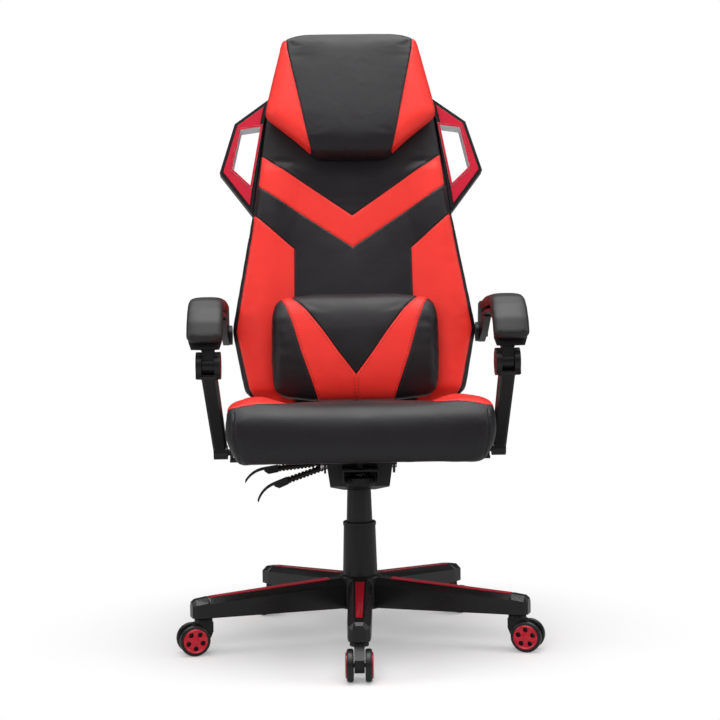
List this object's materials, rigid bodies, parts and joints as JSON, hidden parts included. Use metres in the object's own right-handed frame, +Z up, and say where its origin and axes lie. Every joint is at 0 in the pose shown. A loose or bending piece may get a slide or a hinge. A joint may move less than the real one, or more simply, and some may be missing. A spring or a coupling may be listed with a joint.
{
  "type": "gaming chair",
  "caption": "Swivel chair with high reclining racing-style back, winged shoulders, headrest, lumbar pillow, linkage armrests and castered star base.",
  "frame": {"origin": "on the floor under the seat's swivel axis", "axes": "+Z up, the chair faces -Y, +X is to the right when looking at the chair's front"},
  "size_m": [0.6959, 0.7581, 1.2178],
  "materials": {
    "black_plastic": "satin moulded",
    "base_plastic": "satin moulded with bevelled edges",
    "wheel_plastic": "fine textured",
    "crimson_plastic": "glossy",
    "white_plastic": "plain",
    "grey_trim": "semi-gloss",
    "black_steel": "satin powder coat",
    "bright_steel": "bright zinc",
    "plywood": "raw",
    "black_leather": "grained artificial leather with orange-red panels",
    "soft_black": "soft-touch skin"
  },
  "bodies": {
    "base": {"star_base": "base_plastic", "leg_strips": "crimson_plastic", "column_tube": "black_steel", "column_sleeve": "black_plastic", "guide_bush": "white_plastic"},
    "caster_1": {"caster_fork_1": "black_plastic"},
    "wheel_1_left": {"caster_wheel_1_left": "wheel_plastic", "wheel_cap_1_left": "crimson_plastic"},
    "wheel_1_right": {"caster_wheel_1_right": "wheel_plastic", "wheel_cap_1_right": "crimson_plastic"},
    "caster_2": {"caster_fork_2": "black_plastic"},
    "wheel_2_left": {"caster_wheel_2_left": "wheel_plastic", "wheel_cap_2_left": "crimson_plastic"},
    "wheel_2_right": {"caster_wheel_2_right": "wheel_plastic", "wheel_cap_2_right": "crimson_plastic"},
    "caster_3": {"caster_fork_3": "black_plastic"},
    "wheel_3_left": {"caster_wheel_3_left": "wheel_plastic", "wheel_cap_3_left": "crimson_plastic"},
    "wheel_3_right": {"caster_wheel_3_right": "wheel_plastic", "wheel_cap_3_right": "crimson_plastic"},
    "caster_4": {"caster_fork_4": "black_plastic"},
    "wheel_4_left": {"caster_wheel_4_left": "wheel_plastic", "wheel_cap_4_left": "crimson_plastic"},
    "wheel_4_right": {"caster_wheel_4_right": "wheel_plastic", "wheel_cap_4_right": "crimson_plastic"},
    "caster_5": {"caster_fork_5": "black_plastic"},
    "wheel_5_left": {"caster_wheel_5_left": "wheel_plastic", "wheel_cap_5_left": "crimson_plastic"},
    "wheel_5_right": {"caster_wheel_5_right": "wheel_plastic", "wheel_cap_5_right": "crimson_plastic"},
    "piston": {"piston_rod": "bright_steel", "thrust_bearing": "bright_steel", "retaining_clip": "bright_steel"},
    "lift": {"gas_cylinder": "bright_steel", "mech_housing": "black_steel", "tilt_pin": "bright_steel", "tension_spring": "bright_steel"},
    "tension_knob": {"tension_knob": "black_plastic"},
    "height_lever": {"height_lever": "black_plastic"},
    "seat": {"seat_plate": "black_steel", "seat_board": "plywood", "seat_cushion": "black_leather", "hinge_plates": "black_steel", "hinge_covers": "black_plastic"},
    "recline_lever": {"recline_lever": "black_plastic"},
    "back": {"back_frame": "black_steel", "back_cushion": "black_leather", "back_cover": "black_leather", "headrest": "black_leather", "lumbar_pillow": "black_leather", "wing_frames": "black_plastic", "wing_inserts": "crimson_plastic", "wing_bezels": "grey_trim", "arm_brackets": "black_steel"},
    "arm_left": {"arm_body_left": "black_plastic", "arm_pad_left": "soft_black"},
    "post_left": {"arm_post_left": "black_plastic"},
    "arm_right": {"arm_body_right": "black_plastic", "arm_pad_right": "soft_black"},
    "post_right": {"arm_post_right": "black_plastic"}
  },
  "joints": [
    {"name": "caster_1_swivel", "type": "hinge", "parent": "base", "child": "caster_1", "pos_m": [-0.01085, -0.31081, 0.06], "axis": [0, 0, 1], "continuous": true},
    {"name": "wheel_1_left_spin", "type": "hinge", "parent": "caster_1", "child": "wheel_1_left", "pos_m": [-0.01155, -0.3308, 0.029], "axis": [0.9994, -0.0349, 0], "continuous": true},
    {"name": "wheel_1_right_spin", "type": "hinge", "parent": "caster_1", "child": "wheel_1_right", "pos_m": [-0.01155, -0.3308, 0.029], "axis": [0.9994, -0.0349, 0], "continuous": true},
    {"name": "caster_2_swivel", "type": "hinge", "parent": "base", "child": "caster_2", "pos_m": [0.29224, -0.10637, 0.06], "axis": [0, 0, 1], "continuous": true},
    {"name": "wheel_2_left_spin", "type": "hinge", "parent": "caster_2", "child": "wheel_2_left", "pos_m": [0.31104, -0.11321, 0.029], "axis": [0.342, 0.9397, 0], "continuous": true},
    {"name": "wheel_2_right_spin", "type": "hinge", "parent": "caster_2", "child": "wheel_2_right", "pos_m": [0.31104, -0.11321, 0.029], "axis": [0.342, 0.9397, 0], "continuous": true},
    {"name": "caster_3_swivel", "type": "hinge", "parent": "base", "child": "caster_3", "pos_m": [0.19147, 0.24507, 0.06], "axis": [0, 0, 1], "continuous": true},
    {"name": "wheel_3_left_spin", "type": "hinge", "parent": "caster_3", "child": "wheel_3_left", "pos_m": [0.20378, 0.26083, 0.029], "axis": [-0.788, 0.6157, 0], "continuous": true},
    {"name": "wheel_3_right_spin", "type": "hinge", "parent": "caster_3", "child": "wheel_3_right", "pos_m": [0.20378, 0.26083, 0.029], "axis": [-0.788, 0.6157, 0], "continuous": true},
    {"name": "caster_4_swivel", "type": "hinge", "parent": "base", "child": "caster_4", "pos_m": [-0.17391, 0.25783, 0.06], "axis": [0, 0, 1], "continuous": true},
    {"name": "wheel_4_left_spin", "type": "hinge", "parent": "caster_4", "child": "wheel_4_left", "pos_m": [-0.18509, 0.27441, 0.029], "axis": [-0.829, -0.5592, 0], "continuous": true},
    {"name": "wheel_4_right_spin", "type": "hinge", "parent": "caster_4", "child": "wheel_4_right", "pos_m": [-0.18509, 0.27441, 0.029], "axis": [-0.829, -0.5592, 0], "continuous": true},
    {"name": "caster_5_swivel", "type": "hinge", "parent": "base", "child": "caster_5", "pos_m": [-0.29895, -0.08572, 0.06], "axis": [0, 0, 1], "continuous": true},
    {"name": "wheel_5_left_spin", "type": "hinge", "parent": "caster_5", "child": "wheel_5_left", "pos_m": [-0.31818, -0.09124, 0.029], "axis": [0.2756, -0.9613, 0], "continuous": true},
    {"name": "wheel_5_right_spin", "type": "hinge", "parent": "caster_5", "child": "wheel_5_right", "pos_m": [-0.31818, -0.09124, 0.029], "axis": [0.2756, -0.9613, 0], "continuous": true},
    {"name": "seat_swivel", "type": "hinge", "parent": "base", "child": "piston", "pos_m": [0, 0, 0.07], "axis": [0, 0, 1], "continuous": true},
    {"name": "seat_height", "type": "slide", "parent": "piston", "child": "lift", "axis": [0, 0, 1], "range_m": [0, 0.08]},
    {"name": "seat_tilt", "type": "hinge", "parent": "lift", "child": "seat", "pos_m": [0, -0.06, 0.35], "axis": [-1, 0, 0], "range_deg": [0, 10], "stiffness_Nm_per_rad": 400, "springref_deg": -14.32, "deforming": ["tension_spring"]},
    {"name": "knob_turn", "type": "hinge", "parent": "seat", "child": "tension_knob", "pos_m": [0, -0.107, 0.318], "axis": [0, 0, 1], "continuous": true},
    {"name": "height_lever_lift", "type": "hinge", "parent": "lift", "child": "height_lever", "pos_m": [-0.063, -0.034, 0.345], "axis": [0, 1, 0], "range_deg": [0, 8], "stiffness_Nm_per_rad": 1.5, "springref_deg": -5.73},
    {"name": "recline_lever_lift", "type": "hinge", "parent": "seat", "child": "recline_lever", "pos_m": [-0.079, 0.045, 0.342], "axis": [0, 1, 0], "range_deg": [0, 8], "stiffness_Nm_per_rad": 1.5, "springref_deg": -5.73},
    {"name": "back_recline", "type": "hinge", "parent": "seat", "child": "back", "pos_m": [0, 0.19, 0.43], "axis": [-1, 0, 0], "range_deg": [0, 45]},
    {"name": "arm_left_pivot", "type": "hinge", "parent": "back", "child": "arm_left", "pos_m": [0, 0.228, 0.59], "axis": [-1, 0, 0], "range_deg": [-45, 0]},
    {"name": "post_left_pivot", "type": "hinge", "parent": "seat", "child": "post_left", "pos_m": [0, -0.113, 0.383], "axis": [-1, 0, 0], "range_deg": [0, 45]},
    {"name": "arm_right_pivot", "type": "hinge", "parent": "back", "child": "arm_right", "pos_m": [0, 0.228, 0.59], "axis": [-1, 0, 0], "range_deg": [-45, 0]},
    {"name": "post_right_pivot", "type": "hinge", "parent": "seat", "child": "post_right", "pos_m": [0, -0.113, 0.383], "axis": [-1, 0, 0], "range_deg": [0, 45]}
  ],
  "couplings": [
    {"joint": "arm_left_pivot", "follows": "back_recline", "ratio": -1},
    {"joint": "post_left_pivot", "follows": "back_recline", "ratio": 1},
    {"joint": "arm_right_pivot", "follows": "back_recline", "ratio": -1},
    {"joint": "post_right_pivot", "follows": "back_recline", "ratio": 1}
  ]
}
